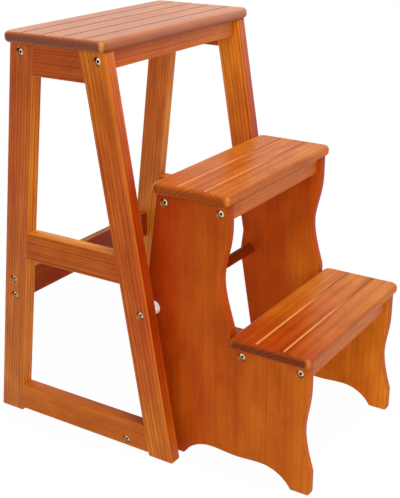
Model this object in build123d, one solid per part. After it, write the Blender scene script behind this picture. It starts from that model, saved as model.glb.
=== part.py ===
from build123d import *
import os
from math import cos, radians, sin, tan

# Folding step stool: an A-shaped frame of two side frames under a top tread, and a step unit with
# two treads that swings on a round bar between the front legs.
# Millimetres. X runs across the stool, -Y is the front, +Z is up, and the floor is z = 0.
# The origin is on the floor, under the middle of the whole stool.

# Overall sizes
stool_height = 640.0
frame_width = 382.0
frame_base_depth = 351.0
step_reach = 214.0

# Side frames: leans are from upright, in degrees
leg_width = 45.0
leg_thickness = 22.0
front_lean = 9.5
rear_lean = 6.7
rail_width = 46.5
middle_rail_height = 281.5
foot_clearance = 5.5
frame_edge_radius = 3.0

# Treads
tread_thickness = 17.0
top_side_overhang = 10.0
top_front_overhang = 3.5
top_rear_overhang = 6.5
top_strips = 5
middle_tread_height = 439.0
lower_tread_height = 226.5
step_tread_depth = 132.5
step_side_overhang = 10.0
step_strips = 3
tread_corner_radius = 12.0
tread_edge_radius = 7.0
groove_depth = 2.0
groove_width = 4.0

# Aprons and rails under the treads
apron_height = 27.0
apron_thickness = 15.0
top_apron_setback = 9.0
frame_rear_setback = 12.0
step_apron_setback = 12.0
step_rail_setback = 10.5
apron_edge_radius = 2.0

# Rear stretcher
stretcher_middle = 228.0
stretcher_bolt_spacing = 28.0

# Lower stretcher
lower_stretcher_behind_leg = 40.0
lower_stretcher_middle = 16.0

# Pivot
pivot_height = 239.0
pivot_setback = 16.0
bar_diameter = 18.0
spacer_length = 16.0
spacer_wall = 2.0
pivot_clearance = 0.08
side_clearance = 0.3

# Step panels
panel_thickness = 16.0
toe_reach = 2.5
nose_setback = 4.5
panel_rear_setback = 5.5
riser_gap = 0.5
panel_behind_pivot = 19.0
panel_elbow_drop = 6.0
panel_elbow_radius = 60.0
upper_scoop_depth = 12.3
upper_scoop_top_margin = 29.0
upper_scoop_bottom_margin = 8.0
lower_scoop_depth = 7.1
lower_scoop_top_margin = 37.0
scoop_exit_angle = 17.0
scoop_exit_radius = 12.0
toe_height = 37.0
foot_length = 31.0
arch_height = 28.0
arch_dip = 2.5
arch_shoulder = 51.0
panel_corner_radius = 4.0
panel_edge_radius = 3.0

# Bolts, barrel nuts and inserts
bolt_diameter = 6.0
bolt_length = 40.0
bolt_head_diameter = 10.5
bolt_head_height = 2.5
bolt_head_chamfer = 0.6
counterbore_diameter = 13.0
counterbore_depth = 5.5
socket_across_flats = 4.0
socket_depth = 1.8
thread_overrun = 6.0
nut_diameter = 10.0
nut_cover = 1.5
insert_diameter = 10.0
insert_length = 13.0
bolt_hole_clearance = 0.25
thread_clearance = 0.05
hole_end_clearance = 1.0

# Tread screws
screw_diameter = 4.0
screw_head_diameter = 8.0
screw_head_height = 2.2
screw_tip_length = 4.0
screw_bite = 11.0
screw_inset = 75.0
screw_slot_length = 5.0
screw_slot_width = 1.0
screw_slot_depth = 1.0

# Wooden pins between rails and legs
pin_diameter = 8.0
pin_length = 40.0
pin_spacing = 22.0
pin_chamfer = 1.0
pin_clearance = 0.05

# Places across the stool
sides = {"left": -1, "right": 1}
frame_half = frame_width / 2
frame_inner = frame_half - leg_thickness
frame_middle = frame_half - leg_thickness / 2
panel_outer = frame_inner - spacer_length
panel_inner = panel_outer - panel_thickness
frame_seat = frame_half - counterbore_depth
panel_seat = panel_outer - counterbore_depth
top_tread_length = frame_width + 2 * top_side_overhang
step_tread_length = 2 * (panel_outer + step_side_overhang)

# Heights
top_under = stool_height - tread_thickness
middle_under = middle_tread_height - tread_thickness
lower_under = lower_tread_height - tread_thickness
top_apron_z = top_under - apron_height / 2
middle_apron_z = middle_under - apron_height / 2
lower_apron_z = lower_under - apron_height / 2
rail_bottoms = {
    "top_rail": top_under - rail_width,
    "middle_rail": middle_rail_height,
    "bottom_rail": foot_clearance,
}

# Places from front to back
rear_toe = (frame_base_depth + step_reach) / 2
front_toe = rear_toe - frame_base_depth
panel_toe = front_toe - step_reach
lower_front = panel_toe + toe_reach
lower_rear = lower_front + step_tread_depth
middle_front = lower_rear + riser_gap
middle_rear = middle_front + step_tread_depth
front_leg_run = leg_width / cos(radians(front_lean))
rear_leg_run = leg_width / cos(radians(rear_lean))


def front_edge(z):
    # the front edge of the front legs
    return front_toe + z * tan(radians(front_lean))


def rear_edge(z):
    # the rear edge of the rear legs
    return rear_toe - z * tan(radians(rear_lean))


def front_joint(z):
    # where the rails meet the front legs
    return front_edge(z) + front_leg_run


def rear_joint(z):
    # where the rails meet the rear legs
    return rear_edge(z) - rear_leg_run


top_front = front_edge(top_under) - top_front_overhang
top_rear = rear_edge(top_under) + top_rear_overhang
top_front_apron_y = front_edge(top_apron_z) + top_apron_setback + apron_thickness / 2
top_rear_apron_y = rear_edge(top_apron_z) - frame_rear_setback - apron_thickness / 2
stretcher_y = rear_edge(stretcher_middle) - frame_rear_setback - apron_thickness / 2
lower_stretcher_y = front_joint(lower_stretcher_middle) + lower_stretcher_behind_leg
pivot_y = front_edge(pivot_height) + pivot_setback
middle_apron_y = middle_front + step_apron_setback + apron_thickness / 2
middle_rail_y = middle_rear - step_rail_setback - apron_thickness / 2
lower_apron_y = lower_front + step_apron_setback + apron_thickness / 2
lower_rail_y = lower_rear - step_rail_setback - apron_thickness / 2

# Bolt stations in the side view, as (y, z)
stretcher_heights = [stretcher_middle + s * stretcher_bolt_spacing / 2 for s in (-1, 1)]
top_stations = [(top_front_apron_y, top_apron_z), (top_rear_apron_y, top_apron_z)]
stretcher_stations = [(stretcher_y, z) for z in stretcher_heights]
frame_board_stations = top_stations + stretcher_stations
bar_stations = [(pivot_y, pivot_height), (lower_stretcher_y, lower_stretcher_middle)]
step_board_stations = [
    (middle_apron_y, middle_apron_z),
    (lower_apron_y, lower_apron_z),
    (middle_rail_y, middle_apron_z),
    (lower_rail_y, lower_apron_z),
]
nut_depth = bolt_length - thread_overrun
nut_half_length = apron_thickness / 2 - nut_cover


# Shape helpers

def prism(outline, x0, x1):
    # a closed (y, z) outline drawn out along X
    face = make_face(Polyline(*outline, close=True))
    return extrude(Plane.YZ.offset(x0) * face, amount=x1 - x0)


def along_x(radius, x0, x1, y=0.0, z=0.0):
    return Pos((x0 + x1) / 2, y, z) * Rot(0, 90, 0) * Cylinder(radius, abs(x1 - x0))


def along_y(radius, x, y0, y1, z=0.0):
    return Pos(x, (y0 + y1) / 2, z) * Rot(90, 0, 0) * Cylinder(radius, abs(y1 - y0))


def upright(radius, x, y, z0, z1):
    return Pos(x, y, (z0 + z1) / 2) * Cylinder(radius, abs(z1 - z0))


def at_side(shape, side, x, y, z):
    # a piece drawn along +X from its seat, turned to point into the stool from either side
    turn = 0 if side < 0 else 180
    return Pos(side * x, y, z) * Rot(0, 0, turn) * shape


def on_both_sides(shape, x, stations):
    placed = [at_side(shape, side, x, y, z) for side in sides.values() for y, z in stations]
    return Compound(children=placed)


def save(name, shape):
    export_step(shape, f"parts/{name}.step")


# Fasteners: bolts, nuts and inserts are drawn along +X with the seat of the bolt head at x = 0

def bolt():
    head = along_x(bolt_head_diameter / 2, -bolt_head_height, 0)
    rim = head.edges().filter_by(GeomType.CIRCLE).sort_by(Axis.X)[0]
    head = chamfer(rim, bolt_head_chamfer)
    hexagon = RegularPolygon(socket_across_flats / 2, 6, major_radius=False)
    socket = extrude(Plane.YZ.offset(-bolt_head_height) * hexagon, amount=socket_depth)
    return head + along_x(bolt_diameter / 2, 0, bolt_length) - socket


def barrel_nut():
    nut = along_y(nut_diameter / 2, nut_depth, -nut_half_length, nut_half_length)
    thread = bolt_diameter / 2 + thread_clearance
    return nut - along_x(thread, nut_depth - nut_diameter, nut_depth + nut_diameter)


def bar_insert():
    start = leg_thickness - counterbore_depth
    body = along_x(insert_diameter / 2, start, start + insert_length)
    return body - along_x(bolt_diameter / 2 + thread_clearance, 0, bolt_length)


def tread_screw():
    # drawn upward from the underside of an apron, with its head flush there
    core = screw_diameter / 2
    tip = apron_height + screw_bite
    profile = Polyline((0, 0), (screw_head_diameter / 2, 0), (core, screw_head_height),
                       (core, tip - screw_tip_length), (0, tip), close=True)
    screw = revolve(Plane.XZ * make_face(profile), Axis.Z)
    for turn in (0, 90):
        slot = Box(screw_slot_length, screw_slot_width, screw_slot_depth)
        screw -= Pos(0, 0, screw_slot_depth / 2) * Rot(0, 0, turn) * slot
    return screw


def screw_group(half_length, stations):
    screw = tread_screw()
    inset = half_length - screw_inset
    return Compound(children=[Pos(side * inset, y, z - apron_height / 2) * screw
                              for side in sides.values() for y, z in stations])


def joint_pin():
    pin = along_y(pin_diameter / 2, 0, -pin_length / 2, pin_length / 2)
    return chamfer(pin.edges().filter_by(GeomType.CIRCLE), pin_chamfer)


# Side frames: five flush boards, rounded together along their exposed edges

def leg_outline(edge, run):
    return [(edge(0), 0), (edge(0) + run, 0), (edge(top_under) + run, top_under),
            (edge(top_under), top_under)]


def rail_outline(bottom):
    top = bottom + rail_width
    return [(front_joint(bottom), bottom), (rear_joint(bottom), bottom),
            (rear_joint(top), top), (front_joint(top), top)]


def frame_outlines():
    outlines = {"front_leg": leg_outline(front_edge, front_leg_run),
                "rear_leg": leg_outline(rear_edge, -rear_leg_run)}
    for name, bottom in rail_bottoms.items():
        outlines[name] = rail_outline(bottom)
    return outlines


def rounded_frame(x0, x1):
    whole = Part() + [prism(outline, x0, x1) for outline in frame_outlines().values()]
    below_tread = top_under - frame_edge_radius
    rims = whole.edges().filter_by(Axis.X, reverse=True)
    rims = rims.filter_by(lambda edge: edge.center().Z < below_tread)
    feet = whole.edges().filter_by(Axis.X).filter_by(lambda edge: edge.center().Z < foot_clearance / 2)
    return fillet(rims + feet, frame_edge_radius)


def pin_stations():
    heights = [bottom + rail_width / 2 + s * pin_spacing / 2
               for bottom in rail_bottoms.values() for s in (-1, 1)]
    return [(joint(z), z) for z in heights for joint in (front_joint, rear_joint)]


def side_frame(side):
    x0, x1 = sorted((side * frame_inner, side * frame_half))
    whole = rounded_frame(x0, x1)
    bolt_radius = bolt_diameter / 2 + bolt_hole_clearance
    for y, z in frame_board_stations + bar_stations:
        whole -= along_x(bolt_radius, x0, x1, y, z)
        whole -= along_x(counterbore_diameter / 2, side * frame_half, side * frame_seat, y, z)
    pin_radius = pin_diameter / 2 + pin_clearance
    for y, z in pin_stations():
        whole -= along_y(pin_radius, side * frame_middle, y - pin_length / 2, y + pin_length / 2, z)
    return {name: whole & prism(outline, x0, x1) for name, outline in frame_outlines().items()}


# Cross pieces

def cross_board(half_length, seat, y, z, height, hidden, bolt_heights, screwed):
    # hidden is the way along Y that the barrel nut holes open, seat the bolt heads' place along X
    board = Pos(0, y, z) * Box(2 * half_length, apron_thickness, height)
    board = fillet(board.edges().filter_by(Axis.X), apron_edge_radius)
    open_end = y + hidden * apron_thickness / 2
    blind_end = y - hidden * nut_half_length
    for side in sides.values():
        for bolt_z in bolt_heights:
            tip = side * (seat - bolt_length - hole_end_clearance)
            board -= along_x(bolt_diameter / 2 + bolt_hole_clearance, side * half_length, tip, y, bolt_z)
            nut_x = side * (seat - nut_depth)
            board -= along_y(nut_diameter / 2 + thread_clearance, nut_x, open_end, blind_end, bolt_z)
        if screwed:
            board -= screw_cut(side * (half_length - screw_inset), y, z - height / 2, height)
    return board


def screw_cut(x, y, bottom, height):
    # the clearance hole and countersink of a tread screw
    hole = upright(screw_diameter / 2 + bolt_hole_clearance, x, y, bottom, bottom + height)
    sink = Cone(screw_head_diameter / 2 + thread_clearance, screw_diameter / 2 + thread_clearance,
                screw_head_height)
    return hole + Pos(x, y, bottom + screw_head_height / 2) * sink


def frame_board(y, z, height, hidden, bolt_heights, screwed):
    return cross_board(frame_inner, frame_seat, y, z, height, hidden, bolt_heights, screwed)


def step_board(y, z, hidden):
    return cross_board(panel_inner, panel_seat, y, z, apron_height, hidden, [z], True)


def cross_bar(y, z):
    bar = along_x(bar_diameter / 2, -frame_inner, frame_inner, y, z)
    for side in sides.values():
        tip = side * (frame_seat - bolt_length - hole_end_clearance)
        bar -= along_x(bolt_diameter / 2 + bolt_hole_clearance, side * frame_inner, tip, y, z)
        insert_end = side * (frame_inner - insert_length)
        bar -= along_x(insert_diameter / 2 + thread_clearance, side * frame_inner, insert_end, y, z)
    return bar


def pivot_spacer():
    # drawn along +X from the inner face of a front leg
    length = spacer_length - side_clearance
    tube = along_x(bar_diameter / 2 + spacer_wall, 0, length)
    return tube - along_x(bar_diameter / 2 + pivot_clearance, 0, length)


# Treads

def tread(length, front, rear, top, strips, screw_places):
    depth = rear - front
    slab = Pos(0, (front + rear) / 2, top - tread_thickness / 2) * Box(length, depth, tread_thickness)
    slab = fillet(slab.edges().filter_by(Axis.Z), tread_corner_radius)
    faces = slab.faces().sort_by(Axis.Z)
    slab = fillet(faces[0].edges() + faces[-1].edges(), tread_edge_radius)
    for strip in range(1, strips):
        y = front + depth * strip / strips
        vee = [(y, top - groove_depth), (y + groove_width, top + groove_depth),
               (y - groove_width, top + groove_depth)]
        slab -= prism(vee, -length / 2, length / 2)
    under = top - tread_thickness
    pilot_top = under + screw_bite + hole_end_clearance
    for x, y in screw_places:
        slab -= upright(screw_diameter / 2 + thread_clearance, x, y, under, pilot_top)
    return slab


def screw_places(half_length, lines):
    return [(side * (half_length - screw_inset), y) for side in sides.values() for y in lines]


# Step panels

def panel_face():
    upper_front = middle_front + nose_setback
    lower_panel_front = lower_front + nose_setback
    elbow = (pivot_y + panel_behind_pivot, pivot_height - panel_elbow_drop)
    heel = elbow[0] - elbow[1] * tan(radians(front_lean))
    top_rear = (middle_rear - panel_rear_setback, middle_under)
    top_front = (upper_front, middle_under)
    upper_start = (upper_front, middle_under - upper_scoop_top_margin)
    upper_end = (middle_front, lower_tread_height + upper_scoop_bottom_margin)
    upper_deep = (upper_front + upper_scoop_depth, (upper_start[1] + upper_end[1]) / 2)
    inner_corner = (middle_front, lower_under)
    lower_top = (lower_panel_front, lower_under)
    lower_start = (lower_panel_front, lower_under - lower_scoop_top_margin)
    lower_end = (panel_toe, toe_height)
    lower_deep = (lower_panel_front + lower_scoop_depth, (lower_start[1] + lower_end[1]) / 2)
    front_foot = (panel_toe + foot_length, 0)
    rear_foot = (heel - foot_length, 0)
    front_peak = (front_foot[0] + arch_shoulder, arch_height)
    rear_peak = (rear_foot[0] - arch_shoulder, arch_height)
    dip = ((front_foot[0] + rear_foot[0]) / 2, arch_height - arch_dip)
    exit_turn = radians(scoop_exit_angle)
    scoop_ends = [(0, -1), (-sin(exit_turn), -cos(exit_turn))]
    outline = [
        Line(top_rear, top_front),
        Line(top_front, upper_start),
        Spline(upper_start, upper_deep, upper_end, tangents=scoop_ends),
        Line(upper_end, inner_corner),
        Line(inner_corner, lower_top),
        Line(lower_top, lower_start),
        Spline(lower_start, lower_deep, lower_end, tangents=scoop_ends),
        Line(lower_end, (panel_toe, 0)),
        Line((panel_toe, 0), front_foot),
        TangentArc(front_peak, front_foot, tangent=(-1, 0)),
        Spline(front_peak, dip, rear_peak, tangents=[(1, 0), (1, 0)]),
        TangentArc(rear_peak, rear_foot, tangent=(1, 0)),
        Line(rear_foot, (heel, 0)),
        Line((heel, 0), elbow),
        Line(elbow, top_rear),
    ]
    face = make_face(outline)
    face = fillet(face.vertices().sort_by_distance((*elbow, 0))[0], panel_elbow_radius)
    for corner in (upper_end, lower_end):
        face = fillet(face.vertices().sort_by_distance((*corner, 0))[0], scoop_exit_radius)
    for corner in ((panel_toe, 0), (heel, 0)):
        face = fillet(face.vertices().sort_by_distance((*corner, 0))[0], panel_corner_radius)
    return face


def step_panel(side):
    x0, x1 = sorted((side * panel_inner, side * panel_outer))
    panel = extrude(Plane.YZ.offset(x0) * panel_face(), amount=panel_thickness)
    rims = panel.edges().filter_by(lambda edge: edge.bounding_box().size.X < panel_thickness / 2)
    panel = fillet(rims, panel_edge_radius)
    panel -= along_x(bar_diameter / 2 + pivot_clearance, x0, x1, pivot_y, pivot_height)
    for y, z in step_board_stations:
        panel -= along_x(bolt_diameter / 2 + bolt_hole_clearance, x0, x1, y, z)
        panel -= along_x(counterbore_diameter / 2, side * panel_outer, side * panel_seat, y, z)
    return panel


# Write every piece

os.makedirs("parts", exist_ok=True)

for side_name, side in sides.items():
    for board_name, board in side_frame(side).items():
        save(f"{side_name}_{board_name}", board)
    save(f"{side_name}_step_panel", step_panel(side))

save("top_tread", tread(top_tread_length, top_front, top_rear, stool_height, top_strips,
                        screw_places(frame_inner, (top_front_apron_y, top_rear_apron_y))))
save("middle_tread", tread(step_tread_length, middle_front, middle_rear, middle_tread_height, step_strips,
                           screw_places(panel_inner, (middle_apron_y, middle_rail_y))))
save("lower_tread", tread(step_tread_length, lower_front, lower_rear, lower_tread_height, step_strips,
                          screw_places(panel_inner, (lower_apron_y, lower_rail_y))))

save("top_front_apron", frame_board(top_front_apron_y, top_apron_z, apron_height, 1, [top_apron_z], True))
save("top_rear_apron", frame_board(top_rear_apron_y, top_apron_z, apron_height, -1, [top_apron_z], True))
save("rear_stretcher", frame_board(stretcher_y, stretcher_middle, rail_width, -1, stretcher_heights, False))
save("middle_front_apron", step_board(middle_apron_y, middle_apron_z, 1))
save("middle_rear_rail", step_board(middle_rail_y, middle_apron_z, -1))
save("lower_front_apron", step_board(lower_apron_y, lower_apron_z, 1))
save("lower_rear_rail", step_board(lower_rail_y, lower_apron_z, -1))

save("pivot_bar", cross_bar(pivot_y, pivot_height))
save("lower_stretcher", cross_bar(lower_stretcher_y, lower_stretcher_middle))
save("pivot_spacers", on_both_sides(pivot_spacer(), frame_inner, [(pivot_y, pivot_height)]))

save("frame_bolts", on_both_sides(bolt(), frame_seat, frame_board_stations + bar_stations))
save("frame_barrel_nuts", on_both_sides(barrel_nut(), frame_seat, frame_board_stations))
save("bar_inserts", on_both_sides(bar_insert(), frame_seat, bar_stations))
save("step_bolts", on_both_sides(bolt(), panel_seat, step_board_stations))
save("step_barrel_nuts", on_both_sides(barrel_nut(), panel_seat, step_board_stations))
save("frame_joint_pins", on_both_sides(joint_pin(), frame_middle, pin_stations()))
save("frame_tread_screws", screw_group(frame_inner, top_stations))
save("step_tread_screws", screw_group(panel_inner, step_board_stations))
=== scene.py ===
import bpy
import bmesh
from math import cos, pi, radians, sin
from mathutils import Matrix, Vector


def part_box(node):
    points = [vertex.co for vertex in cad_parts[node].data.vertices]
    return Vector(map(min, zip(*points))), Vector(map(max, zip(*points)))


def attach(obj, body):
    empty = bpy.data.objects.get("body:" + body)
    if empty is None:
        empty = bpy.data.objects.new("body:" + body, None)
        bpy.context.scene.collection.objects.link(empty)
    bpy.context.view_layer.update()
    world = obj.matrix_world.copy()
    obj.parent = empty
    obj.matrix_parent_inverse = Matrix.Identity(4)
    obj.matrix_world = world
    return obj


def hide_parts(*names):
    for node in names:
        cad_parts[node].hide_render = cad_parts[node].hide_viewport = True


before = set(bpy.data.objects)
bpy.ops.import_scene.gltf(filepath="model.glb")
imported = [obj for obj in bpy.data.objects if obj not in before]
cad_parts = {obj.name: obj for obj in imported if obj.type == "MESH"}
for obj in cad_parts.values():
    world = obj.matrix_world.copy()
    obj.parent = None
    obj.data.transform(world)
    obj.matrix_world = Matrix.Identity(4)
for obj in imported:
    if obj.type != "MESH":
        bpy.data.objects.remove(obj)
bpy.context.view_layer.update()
scene = bpy.context.scene
scene.view_settings.view_transform = "Standard"
print("frame loaded:", len(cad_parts), "nodes")


# one node: settings are its properties, inputs hold a number, a colour or another node's output
def addNode(tree, kind, settings={}, inputs={}):
    made = tree.nodes.new(kind)
    for key, value in settings.items():
        setattr(made, key, value)
    for socket, value in inputs.items():
        if isinstance(value, bpy.types.NodeSocket):
            tree.links.new(value, made.inputs[socket])
        else:
            made.inputs[socket].default_value = value
    return made


def addMath(tree, operation, *values):
    return addNode(tree, "ShaderNodeMath", {"operation": operation}, dict(enumerate(values))).outputs[0]


def addProduct(tree, first, *others):
    for other in others:
        first = addMath(tree, "MULTIPLY", first, other)
    return first


def addVector(tree, operation, *values):
    made = addNode(tree, "ShaderNodeVectorMath", {"operation": operation}, dict(enumerate(values)))
    return made.outputs["Value" if operation in ("LENGTH", "DOT_PRODUCT") else "Vector"]


def addRange(tree, value, low, high, toLow=0.0, toHigh=1.0, kind="SMOOTHSTEP"):
    return addNode(tree, "ShaderNodeMapRange", {"interpolation_type": kind},
                   {0: value, 1: low, 2: high, 3: toLow, 4: toHigh}).outputs[0]


def addBlend(tree, amount, first, second, kind="MIX"):
    colours = [c if isinstance(c, bpy.types.NodeSocket) else (*c, 1.0) for c in (first, second)]
    return addNode(tree, "ShaderNodeMix", {"data_type": "RGBA", "blend_type": kind},
                   {0: amount, 6: colours[0], 7: colours[1]}).outputs[2]


def addNoise(tree, vector, stretch, detail=2.0, roughness=0.5):
    return addNode(tree, "ShaderNodeTexNoise", {},
                   {"Vector": addVector(tree, "MULTIPLY", vector, stretch), "Scale": 1.0,
                    "Detail": detail, "Roughness": roughness}).outputs["Fac"]


def addSplit(tree, vector):
    return addNode(tree, "ShaderNodeSeparateXYZ", {}, {0: vector}).outputs


def addBump(tree, shader, height, strength, distance):
    bump = addNode(tree, "ShaderNodeBump", {}, {"Height": height, "Strength": strength, "Distance": distance})
    tree.links.new(bump.outputs[0], shader.inputs["Normal"])


def newFinish(name):
    finish = bpy.data.materials.new(name)
    finish.use_nodes = True
    return finish, finish.node_tree, finish.node_tree.nodes["Principled BSDF"]


def dressNode(node, finish):
    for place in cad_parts[node].material_slots:
        place.material = finish


# camera: place in metres, turn about the upright and tilt down in degrees
photoView = {"place": (-1.2733, -0.8054, 0.8698), "turn": -57.608, "tilt": 21.373, "lens": 71.994}


def setCamera(view):
    data = bpy.data.cameras.new("photoView")
    data.lens = view["lens"]
    camera = bpy.data.objects.new("photoView", data)
    camera.location = view["place"]
    camera.rotation_euler = (radians(90 - view["tilt"]), 0, radians(view["turn"]))
    scene.collection.objects.link(camera)
    scene.camera = camera


# studio: a pale floor that fades into the white surround, soft boxes and an even sky
studio = {
    "floorHalf": 12.0, "floorDrop": 0.0006, "floorTone": (0.9, 0.9, 0.9), "floorRoughness": 0.9,
    "fleckRate": 60, "fleckShade": 0.97, "shadowKept": 0.03, "fadeFrom": 0.7, "fadeTo": 1.8, "skyLevel": 0.12,
    "lamps": {
        "topBox": {"place": (-0.3, -0.8, 2.7), "aim": (0, 0, 0.35), "size": (0.9, 0.9), "watts": 50},
        "frontLeftBox": {"place": (-1.7, -2.4, 1.6), "aim": (0, 0, 0.3), "size": (2.8, 2.8), "watts": 51},
        "leftBox": {"place": (-2.5, 0.6, 1.4), "aim": (0, 0, 0.3), "size": (2.0, 2.0), "watts": 11},
        "rightBox": {"place": (2.4, -0.9, 1.6), "aim": (0, 0, 0.35), "size": (3.4, 3.1), "watts": 50},
        "rearBox": {"place": (0.8, 2.5, 1.6), "aim": (0, 0, 0.2), "size": (2.0, 2.0), "watts": 26},
    },
}


# one for rays that show the surround: from the camera, mirrored or let through
def addSeen(tree):
    path = addNode(tree, "ShaderNodeLightPath")
    seen = addMath(tree, "MAXIMUM", path.outputs["Is Camera Ray"], path.outputs["Is Glossy Ray"])
    return addMath(tree, "MAXIMUM", seen, path.outputs["Is Transmission Ray"])


def setSky(plan):
    world = bpy.data.worlds.new("whiteSurround")
    world.use_nodes = True
    scene.world = world
    tree = world.node_tree
    sky = tree.nodes["Background"]
    sky.inputs["Color"].default_value = (1, 1, 1, 1)
    level = addRange(tree, addSeen(tree), 0, 1, plan["skyLevel"], 1.0, "LINEAR")
    tree.links.new(level, sky.inputs["Strength"])


def floorPaper(plan):
    paper, tree, shader = newFinish("palePaper")
    spot = addNode(tree, "ShaderNodeTexCoord").outputs["Object"]
    fleck = addNoise(tree, spot, (plan["fleckRate"],) * 3, detail=3.0)
    flecked = tuple(t * plan["fleckShade"] for t in plan["floorTone"])
    tree.links.new(addBlend(tree, fleck, plan["floorTone"], flecked), shader.inputs["Base Color"])
    shader.inputs["Roughness"].default_value = plan["floorRoughness"]
    away = addVector(tree, "LENGTH", spot)
    glowing = addRange(tree, away, plan["fadeFrom"], plan["fadeTo"], 1.0 - plan["shadowKept"], 1.0)
    white = addNode(tree, "ShaderNodeEmission", {}, {"Color": (1, 1, 1, 1), "Strength": 1.0})
    mixed = addNode(tree, "ShaderNodeMixShader", {}, {0: addMath(tree, "MULTIPLY", addSeen(tree), glowing),
                                                      1: shader.outputs[0], 2: white.outputs[0]})
    tree.links.new(mixed.outputs[0], tree.nodes["Material Output"].inputs["Surface"])
    return paper


def setFloor(plan):
    half, under = plan["floorHalf"], -plan["floorDrop"]
    mesh = bpy.data.meshes.new("studioFloor")
    mesh.from_pydata([(-half, -half, under), (half, -half, under), (half, half, under), (-half, half, under)],
                     [], [(0, 1, 2, 3)])
    floor = bpy.data.objects.new("studioFloor", mesh)
    scene.collection.objects.link(floor)
    mesh.materials.append(floorPaper(plan))


def setLamps(lamps):
    for name, lamp in lamps.items():
        data = bpy.data.lights.new(name, "AREA")
        data.shape = "RECTANGLE"
        data.size, data.size_y = lamp["size"]
        data.energy = lamp["watts"]
        box = bpy.data.objects.new(name, data)
        box.location = lamp["place"]
        aim = Vector(lamp["aim"]) - Vector(lamp["place"])
        box.rotation_euler = aim.to_track_quat("-Z", "Y").to_euler()
        scene.collection.objects.link(box)


setCamera(photoView)
setSky(studio)
setFloor(studio)
setLamps(studio["lamps"])
print("camera and studio set")

# corners nearer than this are one corner of a solid
sameCorner = 0.00002


# low and high corners of every loose solid in a CAD node, in a fixed order
def looseBoxes(node):
    work = bmesh.new()
    work.from_mesh(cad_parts[node].data)
    bmesh.ops.remove_doubles(work, verts=work.verts, dist=sameCorner)
    left, boxes = set(work.verts), []
    while left:
        reached, corners = [left.pop()], []
        while reached:
            corner = reached.pop()
            corners.append(corner.co.copy())
            for near in (edge.other_vert(corner) for edge in corner.link_edges):
                if near in left:
                    left.remove(near)
                    reached.append(near)
        boxes.append((Vector(map(min, zip(*corners))), Vector(map(max, zip(*corners)))))
    work.free()
    return sorted(boxes, key=lambda box: [round(c, 4) for c in box[0]])


boltCentres = [(low + high) / 2 for node in ("frame_bolts", "step_bolts") for low, high in looseBoxes(node)]

# cherry stain on pine, in linear tones: gold where it lies thin, then red and deep where it lies thicker,
# rubbed or pooled on rounded edges, end and endPale on end grain, end also as painted shade in the upper
# walls of the bolt recesses; recess is painted light on their lower walls, and corner a painted highlight on
# the tread corners
stain = {
    "gold": (0.53, 0.140, 0.008), "red": (0.37, 0.038, 0.001), "deep": (0.20, 0.016, 0.0008),
    "rubbed": (0.62, 0.180, 0.015), "pooled": (0.27, 0.060, 0.005), "end": (0.11, 0.012, 0.001),
    "endPale": (0.25, 0.043, 0.004), "litRecessWall": (0.66, 0.25, 0.05), "corner": (0.78, 0.30, 0.05),
}

# the wood itself: rates are noise cycles in a metre along and across the grain, twinShift moves the grain of
# each further board of a kind, facing limits are cosines and spans are parts of a noise that make a change
wood = {
    "twinShift": (0.37, 0.004, -0.006), "swayAcross": 7, "rippleRates": (9, 60), "ripple": 0.0012,
    "unevenRate": 0.45, "uneven": 1.6, "lateRise": (0.25, 0.86), "lateFall": (0.88, 1.0), "faintYear": 0.35,
    "fibreRates": (7, 380), "fleckRates": (26, 1500), "cloudRates": (3, 16), "mottleRates": (14, 34),
    "endFacing": (0.55, 0.95), "sideFacing": (0.5, 0.95), "innerFacing": (0.5, 0.9),
    "cloudGold": 1.1, "deepFrom": -0.6, "fibreSpan": (0.25, 0.75), "dashSpan": (0.28, 0.42), "dashDepth": 1.6,
    "earlyLift": 0.3, "mottleSpan": (0.3, 0.7), "mottleShade": (1.12, 0.86),
    "greenPower": 1.7, "bluePower": 2.2,
}

# grooves and painted corner highlights of the treads, in metres from the middle or in from the rim
treadDetail = {"rim": 0.009, "skin": 0.0003, "topFacing": (0.3, 0.5), "grooveFade": (-0.02, 0.09),
               "cornerHighlightReach": (0.009, 0.003), "cornerHighlightShare": 0.5}

# walls of the bolt recesses, painted light below and painted shade above: shadow holds the heights over the
# bolt's axis where the painted shadow begins and is darkest
recessDetail = {"radius": 0.0068, "wallFacing": (0.5, 0.8), "shadow": (-0.003, 0.004)}

# satin lacquer: spread is the roughness that the fibres take off and add
lacquer = {"fibreSpan": (0.2, 0.8), "spread": (-0.05, 0.07), "rimRougher": 0.25, "cloudRougher": 0.12,
           "lateHeight": 0.5, "fibreHeight": 0.8, "dashHeight": 0.5, "bump": 0.22, "bumpDepth": 0.0004}


def addGrainNoise(tree, grain, rates, detail=2.0, roughness=0.5):
    return addNoise(tree, grain, (rates[0], rates[1], rates[1]), detail, roughness)


# how late in the year the wood at a point grew, from growth rings round a pith line outside the board
def lateWood(tree, grain, run):
    sway = addGrainNoise(tree, grain, (run["swayRate"], wood["swayAcross"]))
    ripple = addGrainNoise(tree, grain, wood["rippleRates"])
    radius = addVector(tree, "LENGTH", addVector(tree, "MULTIPLY", grain, (0, 1, 1)))
    radius = addMath(tree, "MULTIPLY_ADD", sway, run["sway"], radius)
    radius = addMath(tree, "MULTIPLY_ADD", ripple, wood["ripple"], radius)
    rings = addMath(tree, "DIVIDE", radius, run["ring"])
    uneven = addNode(tree, "ShaderNodeTexNoise", {"noise_dimensions": "1D"},
                     {"W": rings, "Scale": wood["unevenRate"], "Detail": 1.0}).outputs["Fac"]
    rings = addMath(tree, "MULTIPLY_ADD", uneven, wood["uneven"], rings)
    phase = addMath(tree, "FRACT", rings)
    late = addMath(tree, "SUBTRACT", addRange(tree, phase, *wood["lateRise"]),
                   addRange(tree, phase, *wood["lateFall"]))
    year = addNode(tree, "ShaderNodeTexWhiteNoise", {"noise_dimensions": "1D"},
                   {"W": addMath(tree, "FLOOR", rings)}).outputs["Value"]
    return addMath(tree, "MULTIPLY", late, addRange(tree, year, 0, 1, wood["faintYear"], 1.0, "LINEAR"))


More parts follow.
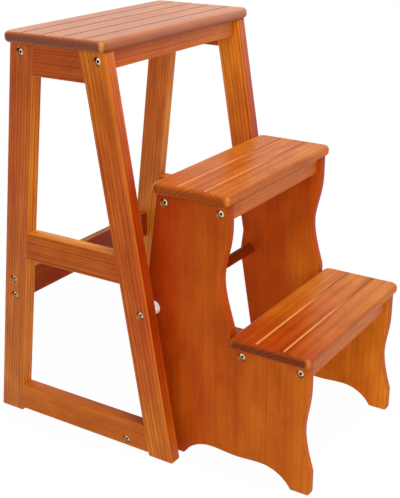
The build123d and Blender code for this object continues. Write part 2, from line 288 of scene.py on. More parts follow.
# where a point lies in its board and what the wood is like there
def boardPoint(tree, node, run, turn):
    low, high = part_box(node)
    middle = (low + high) / 2
    along, thin = Vector(run["along"]).normalized(), Vector(run["thin"])
    across = along.cross(thin)
    toGrain = Matrix((along, thin, across))
    pith = Vector((0, *run["pith"])) + turn * Vector(wood["twinShift"])
    coords = addNode(tree, "ShaderNodeTexCoord").outputs
    grain = addNode(tree, "ShaderNodeMapping", {"vector_type": "POINT"},
                    {"Vector": coords["Object"], "Rotation": toGrain.to_euler(),
                     "Location": pith - toGrain @ middle}).outputs[0]
    tilt, lengthwise, crosswise = (addVector(tree, "DOT_PRODUCT", coords["Normal"], way)
                                   for way in (thin, along, across))
    bent = addMath(tree, "MULTIPLY_ADD", addMath(tree, "MULTIPLY", tilt, tilt), 2.0, -1.0)
    fleck = addGrainNoise(tree, grain, wood["fleckRates"])
    return {
        "low": low, "high": high, "along": along, "place": coords["Object"], "tilt": tilt,
        "fromMiddle": addVector(tree, "SUBTRACT", coords["Object"], middle),
        "edge": addMath(tree, "SUBTRACT", 1.0, addMath(tree, "ABSOLUTE", bent)),
        "end": addRange(tree, addMath(tree, "ABSOLUTE", lengthwise), *wood["endFacing"]),
        "side": addRange(tree, addMath(tree, "ABSOLUTE", crosswise), *wood["sideFacing"]),
        "late": lateWood(tree, grain, run),
        "fibre": addGrainNoise(tree, grain, wood["fibreRates"], detail=4.0, roughness=0.6),
        "dash": addRange(tree, fleck, *wood["dashSpan"], 1.0 - wood["dashDepth"] * run["streak"], 1.0),
        "cloud": addGrainNoise(tree, grain, wood["cloudRates"]),
        "mottle": addGrainNoise(tree, grain, wood["mottleRates"], detail=3.0, roughness=0.6),
    }


# the stain's plain colour, from deep through red to gold as it lies thinner
def stainTone(tree, run, turn, point):
    # partly painted light and shade: lighter towards the floor on the legs and panels, darker at the panels'
    # rear edges by the legs
    stainAndShadeDrift = addVector(tree, "DOT_PRODUCT", point["fromMiddle"], run["stainAndShadeDrift"])
    thinness = addMath(tree, "ADD", stainAndShadeDrift, run["gold"][turn])
    clouded = addMath(tree, "SUBTRACT", point["cloud"], 0.5)
    thinness = addMath(tree, "MULTIPLY_ADD", clouded, wood["cloudGold"], thinness)
    thinness = addMath(tree, "MULTIPLY_ADD", point["side"], run["side"][0], thinness)
    if "bow" in run:
        halfLength = (point["high"] - point["low"]).dot(point["along"]) / 2
        lengthways = addVector(tree, "DOT_PRODUCT", point["fromMiddle"], point["along"] / halfLength)
        squared = addMath(tree, "MULTIPLY", lengthways, lengthways)
        thinness = addMath(tree, "MULTIPLY_ADD", squared, run["bow"], thinness)
    deep, red, gold = (tuple(t * run["shade"][turn] for t in stain[tone]) for tone in ("deep", "red", "gold"))
    colour = addBlend(tree, addRange(tree, thinness, wood["deepFrom"], 0.0, kind="LINEAR"), deep, red)
    return addBlend(tree, addRange(tree, thinness, 0.0, 1.0, kind="LINEAR"), colour, gold)


# what the plain colour is multiplied by; green and blue fall faster than red, so dark grain is redder
def grainTint(tree, run, turn, point):
    streak = addRange(tree, point["fibre"], *wood["fibreSpan"],
                      1.0 + run["streak"], 1.0 - run["streak"], "LINEAR")
    rings = addMath(tree, "MULTIPLY_ADD", point["late"], -run["contrast"],
                    1.0 + wood["earlyLift"] * run["contrast"])
    side = addRange(tree, point["side"], 0, 1, 1.0, run["side"][1 + turn], "LINEAR")
    mottle = addRange(tree, point["mottle"], *wood["mottleSpan"], *wood["mottleShade"], "LINEAR")
    shade = addProduct(tree, streak, point["dash"], rings, side, mottle)
    # faces that look across the stool are painted lighter: painted light
    if "inner" in run:
        faint, full = wood["innerFacing"]
        onLeft = point["low"].x + point["high"].x < 0
        inward = (addRange(tree, point["tilt"], faint, full) if onLeft
                  else addRange(tree, point["tilt"], -full, -faint, 1.0, 0.0))
        shade = addMath(tree, "MULTIPLY", shade, addRange(tree, inward, 0, 1, 1.0, run["inner"], "LINEAR"))
    return addNode(tree, "ShaderNodeCombineColor", {},
                   {0: shade, 1: addMath(tree, "POWER", shade, wood["greenPower"]),
                    2: addMath(tree, "POWER", shade, wood["bluePower"])}).outputs[0]


# below the top face and away from the rounded rim there are only the grooves, painted darker as painted
# shade, and on the step treads pale towards the left as a painted highlight; the corners get a painted
# highlight
def addGrooves(tree, run, point, colour):
    apart = addSplit(tree, point["fromMiddle"])
    half = (point["high"] - point["low"]) / 2
    reach = half - Vector((treadDetail["rim"], treadDetail["rim"], treadDetail["skin"]))
    offs = [addMath(tree, "ABSOLUTE", apart[i]) for i in range(3)]
    inside = addProduct(tree, *(addMath(tree, "LESS_THAN", offs[i], reach[i]) for i in range(3)),
                        addRange(tree, point["tilt"], *treadDetail["topFacing"]))
    far = addRange(tree, apart[0], *treadDetail["grooveFade"])
    colour = addBlend(tree, inside, colour, addBlend(tree, far, *run["grooveLightAndShade"]))
    # the tread corners are painted pale: painted highlight
    corner = addProduct(tree, *(addRange(tree, offs[i], *(half[i] - r for r in treadDetail["cornerHighlightReach"]))
                                for i in (0, 1)), treadDetail["cornerHighlightShare"])
    return addBlend(tree, corner, colour, stain["corner"])


# the walls of the bolt recesses are painted: their lower parts lighter as painted light, their upper parts
# dark as painted shade
def addRecesses(tree, point, colour):
    for centre in boltCentres:
        if all(point["low"][i] < centre[i] < point["high"][i] for i in (1, 2)):
            fromBolt = addVector(tree, "SUBTRACT", point["place"], centre)
            offAxis = addVector(tree, "MULTIPLY", fromBolt, (0, 1, 1))
            near = addMath(tree, "LESS_THAN", addVector(tree, "LENGTH", offAxis), recessDetail["radius"])
            facing = addMath(tree, "ABSOLUTE", point["tilt"])
            turned = addRange(tree, facing, *recessDetail["wallFacing"], 1.0, 0.0)
            wall = addMath(tree, "MULTIPLY", near, turned)
            paintedShadeUpper = addRange(tree, addSplit(tree, offAxis)["Z"], *recessDetail["shadow"])
            # lower walls take the pale recess tone as painted light, upper walls the dark end tone as painted
            # shade
            colour = addBlend(tree, wall, colour, addBlend(tree, paintedShadeUpper, stain["litRecessWall"], stain["end"]))
    return colour


def addLacquer(tree, shader, run, point):
    off, on = (run["gloss"] + spread for spread in lacquer["spread"])
    satin = addRange(tree, point["fibre"], *lacquer["fibreSpan"], off, on, "LINEAR")
    satin = addMath(tree, "MULTIPLY_ADD", point["edge"], lacquer["rimRougher"], satin)
    clouded = addMath(tree, "SUBTRACT", point["cloud"], 0.5)
    satin = addMath(tree, "MULTIPLY_ADD", clouded, lacquer["cloudRougher"], satin)
    tree.links.new(satin, shader.inputs["Roughness"])
    shader.inputs["IOR"].default_value = run["shine"]
    height = addMath(tree, "MULTIPLY", point["fibre"], lacquer["fibreHeight"])
    height = addMath(tree, "MULTIPLY_ADD", point["late"], lacquer["lateHeight"], height)
    height = addMath(tree, "MULTIPLY_ADD", point["dash"], lacquer["dashHeight"], height)
    addBump(tree, shader, height, lacquer["bump"], lacquer["bumpDepth"])


# one board's finish: stain over the grain, ends where it soaks in, rounded edges where it is rubbed or pools,
# and painted light and shade in the tread grooves, on the tread corners and in the bolt recesses
def stainedBoard(node, run, turn):
    finish, tree, shader = newFinish(node + "Stain")
    point = boardPoint(tree, node, run, turn)
    colour = stainTone(tree, run, turn, point)
    colour = addBlend(tree, 1.0, colour, grainTint(tree, run, turn, point), "MULTIPLY")
    endTones = [tuple(t * run["endShade"] for t in stain[tone]) for tone in ("endPale", "end")]
    soaked = addMath(tree, "MULTIPLY", point["end"], run["soak"])
    colour = addBlend(tree, soaked, colour, addBlend(tree, point["late"], *endTones))
    worn = addMath(tree, "MULTIPLY", point["edge"], run["wear"])
    colour = addBlend(tree, worn, colour, stain[run["rim"]])
    if "grooveLightAndShade" in run:
        colour = addGrooves(tree, run, point, colour)
    if run["thin"] == (1, 0, 0):
        colour = addRecesses(tree, point, colour)
    tree.links.new(colour, shader.inputs["Base Color"])
    addLacquer(tree, shader, run, point)
    return finish


# the kinds of board. Grain: along is its way, thin the way through the board, pith the tree's middle from the
# board's centre (through, across), ring the yearly growth, sway and swayRate its waves, contrast and streak
# how strongly rings and fibres show. Stain, for each board in turn: shade is its lightness and gold how thin
# it lies; drift is the way it turns lighter and more golden across the board, partly painted light and shade;
# bow is how much lighter and more golden it grows towards the ends, side the change of gold and then each
# board's shade on the narrow sides, partly painted light; inner is painted light, how much lighter the faces
# that look across the stool are painted. soak and endShade are for the ends, wear and rim for rounded edges,
# groove the grooves' tones at their left and right ends, painted shade and painted highlight. gloss is the
# lacquer's roughness and shine its index of refraction
grainRuns = {
    # the legs are painted lighter towards the floor, and on the faces that look across the stool, as painted
    # light
    "rearLeg": {"nodes": ("left_rear_leg", "right_rear_leg"),
        "along": (0, -sin(radians(6.7)), cos(radians(6.7))), "thin": (1, 0, 0), "pith": (0.062, 0.092),
        "ring": 0.0052, "sway": 0.010, "swayRate": 1.1, "contrast": 0.52, "streak": 0.22, "inner": 1.32,
        "shade": (1.0, 1.0), "soak": 0.6, "endShade": 1.0, "wear": 0.5, "rim": "rubbed",
        "gold": (0.62, 0.62), "stainAndShadeDrift": (0, -5.8, -1.7), "side": (0.8, 1.05, 1.12), "gloss": 0.42,
        "shine": 1.30},
    "frontLeg": {"nodes": ("left_front_leg", "right_front_leg"),
        "along": (0, sin(radians(9.5)), cos(radians(9.5))), "thin": (1, 0, 0), "pith": (-0.062, 0.086),
        "ring": 0.0052, "sway": 0.010, "swayRate": 1.1, "contrast": 0.52, "streak": 0.22, "inner": 1.28,
        "shade": (1.06, 1.06), "soak": 0.6, "endShade": 1.0, "wear": 0.5, "rim": "rubbed",
        "gold": (0.28, 0.26), "stainAndShadeDrift": (0, 2.0, -0.3), "bow": 0.72, "side": (-0.24, 0.80, 0.70),
        "gloss": 0.42, "shine": 1.24},
    "topRail": {"nodes": ("left_top_rail", "right_top_rail"), "along": (0, 1, 0), "thin": (1, 0, 0),
        "pith": (0.045, 0.100), "ring": 0.0060, "sway": 0.012, "swayRate": 1.4, "contrast": 0.36,
        "streak": 0.16, "shade": (0.98, 1.0), "soak": 0.6, "endShade": 1.0, "wear": 0.4, "rim": "rubbed",
        "gold": (0.45, 0.5), "stainAndShadeDrift": (0, 0.6, 0), "side": (0.5, 1.0, 1.0), "gloss": 0.42, "shine": 1.26},
    # the middle rails' top and bottom edges are painted lighter and more golden: painted light on the top
    # ledge
    "middleRail": {"nodes": ("left_middle_rail", "right_middle_rail"), "along": (0, 1, 0),
        "thin": (1, 0, 0), "pith": (0.040, -0.090), "ring": 0.0058, "sway": 0.012, "swayRate": 1.2,
        "contrast": 0.50, "streak": 0.20, "shade": (0.94, 0.98), "soak": 0.6, "endShade": 1.0, "wear": 0.4,
        "rim": "rubbed", "gold": (0.28, 0.36), "stainAndShadeDrift": (0, 0.8, 0), "side": (0.6, 1.45, 1.3),
        "gloss": 0.42, "shine": 1.22},
    "bottomRail": {"nodes": ("left_bottom_rail", "right_bottom_rail"), "along": (0, 1, 0),
        "thin": (1, 0, 0), "pith": (0.060, 0.080), "ring": 0.0064, "sway": 0.012, "swayRate": 1.3,
        "contrast": 0.13, "streak": 0.08, "shade": (1.04, 1.0), "soak": 0.6, "endShade": 1.0, "wear": 0.4,
        "rim": "rubbed", "gold": (0.80, 0.75), "stainAndShadeDrift": (0, 0.6, 0), "side": (0.0, 0.86, 0.9),
        "gloss": 0.42, "shine": 1.22},
    # the panels are painted darker towards their rear edges by the legs, as painted shade, and lighter on
    # their inner faces, as painted light
    "panel": {"nodes": ("left_step_panel", "right_step_panel"), "along": (0, 0, 1), "thin": (1, 0, 0),
        "pith": (0.090, 0.260), "ring": 0.0085, "sway": 0.016, "swayRate": 0.9, "contrast": 0.11,
        "streak": 0.07, "inner": 1.3, "shade": (1.06, 1.06), "soak": 0.5, "endShade": 1.0, "wear": 0.35,
        "rim": "pooled", "gold": (0.30, 0.38), "stainAndShadeDrift": (0, -2.3, -0.2), "side": (-0.1, 0.86, 0.84),
        "gloss": 0.40, "shine": 1.15},
    "topTread": {"nodes": ("top_tread",), "along": (1, 0, 0), "thin": (0, 0, 1), "pith": (0.034, 0.020),
        "ring": 0.0052, "sway": 0.010, "swayRate": 1.6, "contrast": 0.26, "streak": 0.11, "shade": (0.77,),
        "soak": 0.95, "endShade": 0.78, "wear": 0.4, "rim": "pooled", "gold": (0.95,), "stainAndShadeDrift": (0.5, 0, 0),
        "side": (0.1, 0.66), "gloss": 0.30, "shine": 1.42,
        "grooveLightAndShade": ((0.14, 0.034, 0.008), (0.14, 0.034, 0.008))},
    "middleTread": {"nodes": ("middle_tread",), "along": (1, 0, 0), "thin": (0, 0, 1),
        "pith": (0.038, -0.016), "ring": 0.0054, "sway": 0.010, "swayRate": 1.6, "contrast": 0.30,
        "streak": 0.10, "shade": (0.90,), "soak": 0.78, "endShade": 1.2, "wear": 0.4, "rim": "pooled",
        "gold": (0.72,), "stainAndShadeDrift": (0.6, 0, 0), "side": (0.3, 0.78), "gloss": 0.32, "shine": 1.19,
        "grooveLightAndShade": ((0.60, 0.24, 0.050), (0.30, 0.080, 0.012))},
    "lowerTread": {"nodes": ("lower_tread",), "along": (1, 0, 0), "thin": (0, 0, 1),
        "pith": (0.042, -0.022), "ring": 0.0056, "sway": 0.010, "swayRate": 1.6, "contrast": 0.30,
        "streak": 0.10, "shade": (0.86,), "soak": 1.0, "endShade": 0.8, "wear": 0.4, "rim": "pooled",
        "gold": (0.62,), "stainAndShadeDrift": (3.2, -1.0, 0), "side": (0.3, 0.84), "gloss": 0.32, "shine": 1.19,
        "grooveLightAndShade": ((0.62, 0.25, 0.050), (0.30, 0.080, 0.012))},
    "frontApron": {"nodes": ("top_front_apron", "middle_front_apron", "lower_front_apron"),
        "along": (1, 0, 0), "thin": (0, 1, 0), "pith": (0.050, 0.070), "ring": 0.0058, "sway": 0.010,
        "swayRate": 1.3, "contrast": 0.24, "streak": 0.12, "shade": (0.92, 1.04, 1.0), "soak": 0.6,
        "endShade": 1.0, "wear": 0.3, "rim": "rubbed", "gold": (0.60, 0.78, 0.64), "stainAndShadeDrift": (0.6, 0, 0),
        "side": (0.2, 1.0, 1.0, 1.0), "gloss": 0.40, "shine": 1.24},
    # the rear boards' top and bottom edges are painted lighter and more golden, as painted light, and the
    # rear stretcher darker and redder, as painted shade
    "rearBoard": {"nodes": ("top_rear_apron", "rear_stretcher", "middle_rear_rail", "lower_rear_rail"),
        "along": (1, 0, 0), "thin": (0, 1, 0), "pith": (0.060, 0.080), "ring": 0.0062, "sway": 0.010,
        "swayRate": 1.3, "contrast": 0.20, "streak": 0.11, "shade": (0.85, 0.72, 0.8, 0.8), "soak": 0.6,
        "endShade": 1.0, "wear": 0.4, "rim": "rubbed", "gold": (0.3, 0.10, 0.3, 0.3), "stainAndShadeDrift": (0, 0, 0),
        "side": (0.7, 1.2, 1.4, 1.2, 1.2), "gloss": 0.42, "shine": 1.2},
    # the round bars are painted dark and red: painted shade
    "roundBar": {"nodes": ("pivot_bar", "lower_stretcher"), "along": (1, 0, 0), "thin": (0, 1, 0),
        "pith": (0.040, 0.030), "ring": 0.0050, "sway": 0.008, "swayRate": 1.5, "contrast": 0.22,
        "streak": 0.11, "shade": (0.66, 0.7), "soak": 0.6, "endShade": 1.0, "wear": 0.0, "rim": "pooled",
        "gold": (0.0, 0.1), "stainAndShadeDrift": (0, 0, 0), "side": (0.0, 0.95, 0.95), "gloss": 0.40, "shine": 1.24},
}

for run in grainRuns.values():
    for turn, node in enumerate(run["nodes"]):
        dressNode(node, stainedBoard(node, run, turn))
print("boards stained")

# bare beech pins inside the joints
pinWood = {"pale": (0.62, 0.44, 0.26), "dark": (0.46, 0.29, 0.15), "fibreRates": (900, 30, 900),
           "darkSpan": (0.3, 0.7), "roughSpan": (0.2, 0.8), "roughness": (0.55, 0.75),
           "bump": 0.3, "bumpDepth": 0.0003}


def barePin(plan):
    finish, tree, shader = newFinish("bareBeech")
    spot = addNode(tree, "ShaderNodeTexCoord").outputs["Object"]
    fibre = addNoise(tree, spot, plan["fibreRates"], detail=4.0, roughness=0.6)
    colour = addBlend(tree, addRange(tree, fibre, *plan["darkSpan"]), plan["pale"], plan["dark"])
    tree.links.new(colour, shader.inputs["Base Color"])
    tree.links.new(addRange(tree, fibre, *plan["roughSpan"], *plan["roughness"]), shader.inputs["Roughness"])
    addBump(tree, shader, fibre, plan["bump"], plan["bumpDepth"])
    return finish


dressNode("frame_joint_pins", barePin(pinWood))

# moulded white nylon of the pivot spacers
nylon = {"white": (0.74, 0.72, 0.68), "scuff": (0.58, 0.54, 0.49), "mouldRate": 1800, "smudgeRate": 120,
         "scuffSpan": (0.55, 0.8), "roughSpan": (0.2, 0.8), "roughness": (0.36, 0.5),
         "bump": 0.15, "bumpDepth": 0.0001}


def whiteNylon(plan):
    finish, tree, shader = newFinish("whiteNylon")
    spot = addNode(tree, "ShaderNodeTexCoord").outputs["Object"]
    mould = addNoise(tree, spot, (plan["mouldRate"],) * 3, detail=3.0)
    smudge = addNoise(tree, spot, (plan["smudgeRate"],) * 3, detail=3.0)
    colour = addBlend(tree, addRange(tree, smudge, *plan["scuffSpan"]), plan["white"], plan["scuff"])
    tree.links.new(colour, shader.inputs["Base Color"])
    tree.links.new(addRange(tree, smudge, *plan["roughSpan"], *plan["roughness"]), shader.inputs["Roughness"])
    addBump(tree, shader, mould, plan["bump"], plan["bumpDepth"])
    return finish


dressNode("pivot_spacers", whiteNylon(nylon))

# plated steel: bright and dull tones and roughness of each plating
plating = {
    "nickel": {"bright": (0.86, 0.74, 0.58), "dull": (0.50, 0.38, 0.26), "gloss": 0.24},
    "zinc": {"bright": (0.62, 0.63, 0.64), "dull": (0.42, 0.43, 0.45), "gloss": 0.34},
}
steelDetail = {"lathePitch": 0.00035, "smearRate": 400, "dullSpan": (0.35, 0.75),
               "socketShadeAndGrime": (0.012, 0.010, 0.009), "socketShadeAndGrimeUnder": (0.0006, 0.0001), "grimeRougher": 0.4,
               "roughSpan": (0.25, 0.75), "spread": (-0.06, 0.1), "bump": 0.12, "bumpDepth": 0.00005}


# the turned attribute holds each fastener's own coordinates, so that lathe marks ring its axis; reach and
# mouth are the drive's greatest radius and the height of its opening, inside which the drive is painted
# nearly
# black: painted shade of a deep drive, with oil and dust
def platedSteel(name, plan, reach, mouth):
    finish, tree, shader = newFinish(name)
    own = addNode(tree, "ShaderNodeAttribute", {"attribute_name": "turned"}).outputs["Vector"]
    spot = addNode(tree, "ShaderNodeTexCoord").outputs["Object"]
    radius = addVector(tree, "LENGTH", addVector(tree, "MULTIPLY", own, (1, 1, 0)))
    lathe = addMath(tree, "SINE", addMath(tree, "MULTIPLY", radius, 2 * pi / steelDetail["lathePitch"]))
    smear = addNoise(tree, spot, (steelDetail["smearRate"],) * 3, detail=3.0)
    colour = addBlend(tree, addRange(tree, smear, *steelDetail["dullSpan"]), plan["bright"], plan["dull"])
    inside = addMath(tree, "LESS_THAN", radius, reach)
    deep, shallow = (mouth - under for under in steelDetail["socketShadeAndGrimeUnder"])
    sunk = addRange(tree, addSplit(tree, own)["Z"], deep, shallow, 1.0, 0.0)
    # the inside of the drive is painted nearly black: painted shade, with oil and dust
    socketShadeAndGrime = addMath(tree, "MULTIPLY", inside, sunk)
    tree.links.new(addBlend(tree, socketShadeAndGrime, colour, steelDetail["socketShadeAndGrime"]), shader.inputs["Base Color"])
    shader.inputs["Metallic"].default_value = 1.0
    off, on = (plan["gloss"] + spread for spread in steelDetail["spread"])
    satin = addRange(tree, smear, *steelDetail["roughSpan"], off, on)
    satin = addMath(tree, "MULTIPLY_ADD", socketShadeAndGrime, steelDetail["grimeRougher"], satin)
    tree.links.new(satin, shader.inputs["Roughness"])
    addBump(tree, shader, lathe, steelDetail["bump"], steelDetail["bumpDepth"])
    return finish


# a Geometry Nodes tree with one named input for each size, and the identifiers for its modifiers
def newTree(name, sizes):
    tree = bpy.data.node_groups.new(name, "GeometryNodeTree")
    tree.interface.new_socket("Geometry", in_out="INPUT", socket_type="NodeSocketGeometry")
    kinds = {label: "NodeSocketInt" if label == "Seed" else "NodeSocketFloat" for label in sizes}
    kinds["Finish"] = "NodeSocketMaterial"
    keys = {label: tree.interface.new_socket(label, in_out="INPUT", socket_type=kind).identifier
            for label, kind in kinds.items()}
    tree.interface.new_socket("Geometry", in_out="OUTPUT", socket_type="NodeSocketGeometry")
    return tree, addNode(tree, "NodeGroupInput").outputs, keys


# fineness of the fasteners: sides of their rounds, length of cutting tools and welding distance in metres;
# edges that bend less than smoothBelow are shaded smooth
making = {"boltSides": 48, "nutSides": 40, "boreSides": 32, "screwSides": 32, "toolLength": 0.02,
          "weld": 0.000005, "smoothBelow": radians(32)}


def addPlace(tree, mesh, height, turn=(0, 0, 0)):
    lift = addNode(tree, "ShaderNodeCombineXYZ", {}, {2: height}).outputs[0]
    return addNode(tree, "GeometryNodeTransform", {},
                   {"Geometry": mesh, "Translation": lift, "Rotation": turn}).outputs[0]


# a turned blank: starts as a disc and grows upward, each step rising by a height to a new radius
def addTurned(tree, sides, start, radius, steps):
    disc = addNode(tree, "GeometryNodeMeshCircle", {"fill_type": "NGON"},
                   {"Vertices": sides, "Radius": radius}).outputs[0]
    disc = addPlace(tree, disc, start)
    mesh, top = disc, True
    for rise, wider in steps:
        push = addNode(tree, "GeometryNodeExtrudeMesh", {"mode": "FACES"},
                       {"Mesh": mesh, "Selection": top, "Offset Scale": rise})
        top = push.outputs["Top"]
        mesh = addNode(tree, "GeometryNodeScaleElements", {"domain": "FACE"},
                       {"Geometry": push.outputs["Mesh"], "Selection": top,
                        "Scale": addMath(tree, "DIVIDE", wider, radius)}).outputs[0]
        radius = wider
    joined = addNode(tree, "GeometryNodeJoinGeometry")
    tree.links.new(addNode(tree, "GeometryNodeFlipFaces", {}, {0: disc}).outputs[0], joined.inputs[0])
    tree.links.new(mesh, joined.inputs[0])
    return addNode(tree, "GeometryNodeMergeByDistance", {},
                   {0: joined.outputs[0], "Distance": making["weld"]}).outputs[0]


def addCut(tree, body, *tools):
    cut = addNode(tree, "GeometryNodeMeshBoolean", {"operation": "DIFFERENCE", "solver": "EXACT"}, {0: body})
    for tool in tools:
        tree.links.new(tool, cut.inputs[1])
    return cut.outputs["Mesh"]


# stands a fastener on every point along the point's aim, turned by chance about its axis up to Turn
def addOnPoints(tree, size, fastener):
    kept = addNode(tree, "GeometryNodeStoreNamedAttribute", {"data_type": "FLOAT_VECTOR", "domain": "POINT"},
                   {"Geometry": fastener, "Name": "turned",
                    "Value": addNode(tree, "GeometryNodeInputPosition").outputs[0]})
    aim = addNode(tree, "GeometryNodeInputNamedAttribute", {"data_type": "FLOAT_VECTOR"}, {"Name": "aim"})
    upright = addNode(tree, "FunctionNodeAlignRotationToVector", {"axis": "Z"},
                      {"Vector": aim.outputs["Attribute"]})
    chance = addNode(tree, "FunctionNodeRandomValue", {"data_type": "FLOAT"},
                     {2: 0.0, 3: 1.0, "Seed": size["Seed"]})
    angle = addMath(tree, "MULTIPLY", chance.outputs[1], size["Turn"])
    spin = addNode(tree, "FunctionNodeAxisAngleToRotation", {}, {"Axis": (0, 0, 1), "Angle": angle})
    both = addNode(tree, "FunctionNodeRotateRotation", {"rotation_space": "LOCAL"},
                   {0: upright.outputs[0], 1: spin.outputs[0]})
    stood = addNode(tree, "GeometryNodeInstanceOnPoints", {},
                    {"Points": size["Geometry"], "Instance": kept.outputs[0], "Rotation": both.outputs[0]})
    real = addNode(tree, "GeometryNodeRealizeInstances", {}, {0: stood.outputs[0]})
    bend = addNode(tree, "GeometryNodeInputMeshEdgeAngle").outputs["Unsigned Angle"]
    gentle = addMath(tree, "LESS_THAN", bend, making["smoothBelow"])
    smooth = addNode(tree, "GeometryNodeSetShadeSmooth", {"domain": "EDGE"},
                     {"Geometry": real.outputs[0], "Shade Smooth": gentle})
    dressed = addNode(tree, "GeometryNodeSetMaterial", {},
                      {"Geometry": smooth.outputs[0], "Material": size["Finish"]})
    addNode(tree, "NodeGroupOutput", {}, {0: dressed.outputs[0]})


# hex-socket furniture bolt: shank below its seat, crowned head with a bevelled rim above it
boltSizes = {"Head Diameter": 0.0105, "Head Height": 0.0025, "Rim Bevel": 0.0006, "Crown": 0.0003,
             "Socket Width": 0.0044, "Socket Depth": 0.0019, "Shank Diameter": 0.006, "Shank Length": 0.040,
             "Turn": 2 * pi, "Seed": 7}
# the crown's flat top as a share of the face, and a hexagon's corner from its centre for a width of one
boltShares = {"crownTop": 0.62, "hexCorner": 0.57735}


def boltTree():
    tree, size, keys = newTree("hexSocketBolt", boltSizes)
    shank = addMath(tree, "MULTIPLY", size["Shank Diameter"], 0.5)
    head = addMath(tree, "MULTIPLY", size["Head Diameter"], 0.5)
    face = addMath(tree, "SUBTRACT", head, size["Rim Bevel"])
    above = addMath(tree, "ADD", size["Rim Bevel"], size["Crown"])
    rim = addMath(tree, "SUBTRACT", size["Head Height"], above)
    start = addMath(tree, "MULTIPLY", size["Shank Length"], -1.0)
    blank = addTurned(tree, making["boltSides"], start, shank, [
        (size["Shank Length"], shank), (0.0, head), (rim, head), (size["Rim Bevel"], face),
        (size["Crown"], addMath(tree, "MULTIPLY", face, boltShares["crownTop"]))])
    corner = addMath(tree, "MULTIPLY", size["Socket Width"], boltShares["hexCorner"])
    key = addNode(tree, "GeometryNodeMeshCylinder", {"fill_type": "NGON"},
                  {"Vertices": 6, "Radius": corner,
                   "Depth": addMath(tree, "MULTIPLY", size["Socket Depth"], 2.0)})
    addOnPoints(tree, size, addCut(tree, blank, addPlace(tree, key.outputs["Mesh"], size["Head Height"])))
    return tree, keys


# slotted barrel nut: stands on the blind end of its hole, crossed by the bolt's thread
nutSizes = {"Diameter": 0.010, "Length": 0.012, "Rim Bevel": 0.0006, "Slot Width": 0.0016,
            "Slot Depth": 0.0016, "Thread Diameter": 0.0062, "Turn": 0.0, "Seed": 1}


def nutTree():
    tree, size, keys = newTree("barrelNut", nutSizes)
    radius = addMath(tree, "MULTIPLY", size["Diameter"], 0.5)
    wall = addMath(tree, "SUBTRACT", size["Length"], size["Rim Bevel"])
    blank = addTurned(tree, making["nutSides"], 0.0, radius, [
        (wall, radius), (size["Rim Bevel"], addMath(tree, "SUBTRACT", radius, size["Rim Bevel"]))])
    bar = addNode(tree, "ShaderNodeCombineXYZ", {}, {0: making["toolLength"], 1: size["Slot Width"],
                                                     2: addMath(tree, "MULTIPLY", size["Slot Depth"], 2.0)})
    slot = addNode(tree, "GeometryNodeMeshCube", {}, {"Size": bar.outputs[0]}).outputs["Mesh"]
    bore = addNode(tree, "GeometryNodeMeshCylinder", {"fill_type": "NGON"},
                   {"Vertices": making["boreSides"], "Depth": making["toolLength"],
                    "Radius": addMath(tree, "MULTIPLY", size["Thread Diameter"], 0.5)})
    middle = addMath(tree, "MULTIPLY", size["Length"], 0.5)
    addOnPoints(tree, size, addCut(tree, blank, addPlace(tree, slot, size["Length"]),
                                   addPlace(tree, bore.outputs["Mesh"], middle, (0, pi / 2, 0))))
    return tree, keys


# countersunk wood screw: grows from its tip up to a flat head with a cross recess
screwSizes = {"Head Diameter": 0.008, "Head Height": 0.0022, "Core Diameter": 0.004, "Tip Length": 0.004,
              "Length": 0.038, "Recess Length": 0.0048, "Recess Width": 0.0011, "Recess Depth": 0.0012,
              "Turn": 2 * pi, "Seed": 3}
screwTipRadius = 0.0003


def screwTree():
    tree, size, keys = newTree("countersunkScrew", screwSizes)
    core = addMath(tree, "MULTIPLY", size["Core Diameter"], 0.5)
    head = addMath(tree, "MULTIPLY", size["Head Diameter"], 0.5)
    ends = addMath(tree, "ADD", size["Tip Length"], size["Head Height"])
    straight = addMath(tree, "SUBTRACT", size["Length"], ends)
    start = addMath(tree, "MULTIPLY", size["Length"], -1.0)
    blank = addTurned(tree, making["screwSides"], start, screwTipRadius, [
        (size["Tip Length"], core), (straight, core), (size["Head Height"], head)])
    deep = addMath(tree, "MULTIPLY", size["Recess Depth"], 2.0)
    bars = []
    for first, second in ((0, 1), (1, 0)):
        bar = addNode(tree, "ShaderNodeCombineXYZ", {},
                      {first: size["Recess Length"], second: size["Recess Width"], 2: deep}).outputs[0]
        bars.append(addNode(tree, "GeometryNodeMeshCube", {}, {"Size": bar}).outputs["Mesh"])
    addOnPoints(tree, size, addCut(tree, blank, *bars))
    return tree, keys


# bolts point outwards along X, with the seat one head height under the outer end
def boltSpots(node):
    spots = []
    for low, high in looseBoxes(node):
        side = 1 if low.x + high.x > 0 else -1
        outer = high.x if side > 0 else low.x
        seat = outer - side * boltSizes["Head Height"]
        spots.append(((seat, (low.y + high.y) / 2, (low.z + high.z) / 2), (side, 0, 0)))
    return spots


# the way along Y that the nuts of each board open: backwards in a front board, forwards in a rear one
nutBoards = {"top_front_apron": 1, "top_rear_apron": -1, "rear_stretcher": -1, "middle_front_apron": 1,
             "middle_rear_rail": -1, "lower_front_apron": 1, "lower_rear_rail": -1}


def nutSpots(node):
    spots = []
    for low, high in looseBoxes(node):
        middle = (low + high) / 2
        for board, way in nutBoards.items():
            boardLow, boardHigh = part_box(board)
            if all(boardLow[i] < middle[i] < boardHigh[i] for i in range(3)):
                spots.append(((middle.x, low.y if way > 0 else high.y, middle.z), (0, way, 0)))
    return spots


# screws are driven up from below, heads flush with the undersides
def screwSpots(node):
    return [(((low.x + high.x) / 2, (low.y + high.y) / 2, low.z), (0, 0, -1))
            for low, high in looseBoxes(node)]


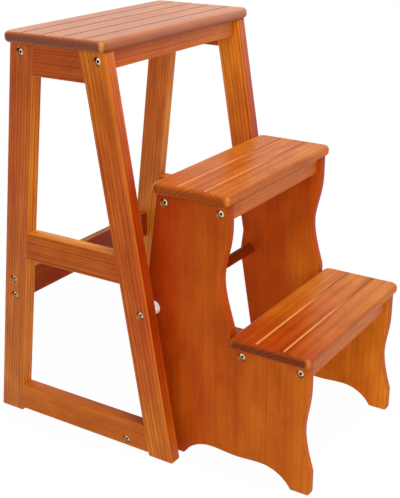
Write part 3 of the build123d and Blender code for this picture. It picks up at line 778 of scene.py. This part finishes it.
def standFasteners(name, node, body, kit, sizes, finish, spots):
    tree, keys = kit
    mesh = bpy.data.meshes.new(name + "Spots")
    mesh.from_pydata([spot for spot, aim in spots], [], [])
    aims = mesh.attributes.new("aim", "FLOAT_VECTOR", "POINT")
    for entry, (spot, aim) in zip(aims.data, spots):
        entry.vector = aim
    holder = bpy.data.objects.new(name + "Spots", mesh)
    scene.collection.objects.link(holder)
    modifier = holder.modifiers.new("fasteners", "NODES")
    modifier.node_group = tree
    for label, value in {**sizes, "Finish": finish}.items():
        modifier[keys[label]] = value
    bpy.context.view_layer.update()
    made = bpy.data.meshes.new_from_object(holder.evaluated_get(bpy.context.evaluated_depsgraph_get()))
    holder.modifiers.remove(modifier)
    bpy.data.objects.remove(holder)
    piece = bpy.data.objects.new(name, made)
    scene.collection.objects.link(piece)
    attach(piece, body)
    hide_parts(node)
    print(name, len(spots), "made,", len(made.polygons), "faces")


# greatest radius of the drives; a nut's slot gets no painted shade
driveReach = {"bolt": 0.0029, "screw": 0.0026, "nut": 0.0}
nickel = platedSteel("nickelPlate", plating["nickel"], driveReach["bolt"], boltSizes["Head Height"])
zinc = platedSteel("zincPlate", plating["zinc"], driveReach["screw"], 0.0)
nutZinc = platedSteel("nutZincPlate", plating["zinc"], driveReach["nut"], 0.0)

# each kind of fastener, and the pieces, nodes and bodies that it is made for
fasteners = [
    {"slot": "bolt_steel", "kit": boltTree(), "sizes": boltSizes, "finish": nickel, "spots": boltSpots,
     "sets": (("frameBolts", "frame_bolts", "frame"), ("stepBolts", "step_bolts", "step_unit"))},
    {"slot": "zinc_steel", "kit": nutTree(), "sizes": nutSizes, "finish": nutZinc, "spots": nutSpots,
     "sets": (("frameBarrelNuts", "frame_barrel_nuts", "frame"),
              ("stepBarrelNuts", "step_barrel_nuts", "step_unit"))},
    {"slot": "zinc_steel", "kit": screwTree(), "sizes": screwSizes, "finish": zinc, "spots": screwSpots,
     "sets": (("frameTreadScrews", "frame_tread_screws", "frame"),
              ("stepTreadScrews", "step_tread_screws", "step_unit"))},
]

for kind in fasteners:
    for name, node, body in kind["sets"]:
        standFasteners(name, node, body, kind["kit"], kind["sizes"], kind["finish"],
                       kind["spots"](node))
dressNode("bar_inserts", nutZinc)
print("fasteners made and dressed")

print("done")
